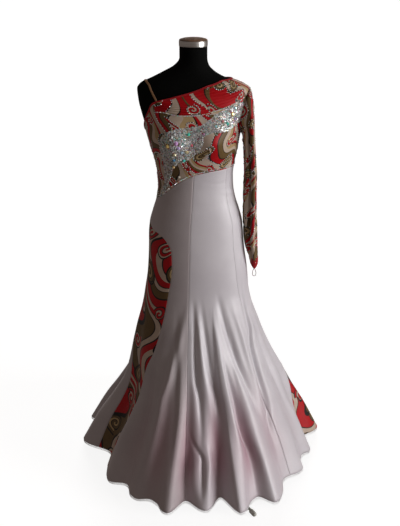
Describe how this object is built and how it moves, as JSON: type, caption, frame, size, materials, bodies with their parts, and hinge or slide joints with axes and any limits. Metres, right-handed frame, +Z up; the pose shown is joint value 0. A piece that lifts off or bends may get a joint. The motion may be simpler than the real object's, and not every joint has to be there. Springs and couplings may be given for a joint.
{
  "type": "ballroom dance dress on a dress form",
  "caption": "Floor-length one-shoulder ballroom dance dress with one long sleeve and a fluted gored skirt, on a limbless dress form with a low tripod stand.",
  "frame": {"origin": "centre of the bounding box at floor level", "axes": "+Z up, the front of the dress towards -Y, the sleeve at +X"},
  "size_m": [0.925, 0.9698, 1.5538],
  "materials": {
    "white_satin": "soft satin sheen",
    "printed_satin": null,
    "red_binding": "matt knit",
    "tan_strap": "matt knit",
    "black_form": "matt jersey cover",
    "brushed_metal": "brushed",
    "cap_wood": "satin lacquer",
    "grey_steel": "satin paint",
    "dark_rubber": "matt",
    "crystal": "foiled, faceted",
    "crin_mesh": "open nylon mesh"
  },
  "bodies": {
    "root": {"form_torso": "black_form", "form_cap_band": "brushed_metal", "form_cap_top": "cap_wood", "stand_pole": "grey_steel", "stand_hub": "grey_steel", "stand_leg_front": "grey_steel", "stand_leg_back": "grey_steel", "stand_leg_side": "grey_steel", "stand_foot_front": "dark_rubber", "stand_foot_back": "dark_rubber", "stand_foot_side": "dark_rubber", "bodice_front": "printed_satin", "bodice_back": "printed_satin", "bodice_yoke": "printed_satin", "neck_binding_front": "red_binding", "neck_binding_back": "red_binding", "strap": "tan_strap", "sleeve": "printed_satin", "sleeve_cuff": "red_binding", "finger_loop": "red_binding", "skirt_front_left": "white_satin", "skirt_front_centre": "white_satin", "skirt_front_right": "white_satin", "skirt_side_print": "printed_satin", "skirt_back_left": "white_satin", "skirt_back_right": "printed_satin"}
  },
  "joints": []
}
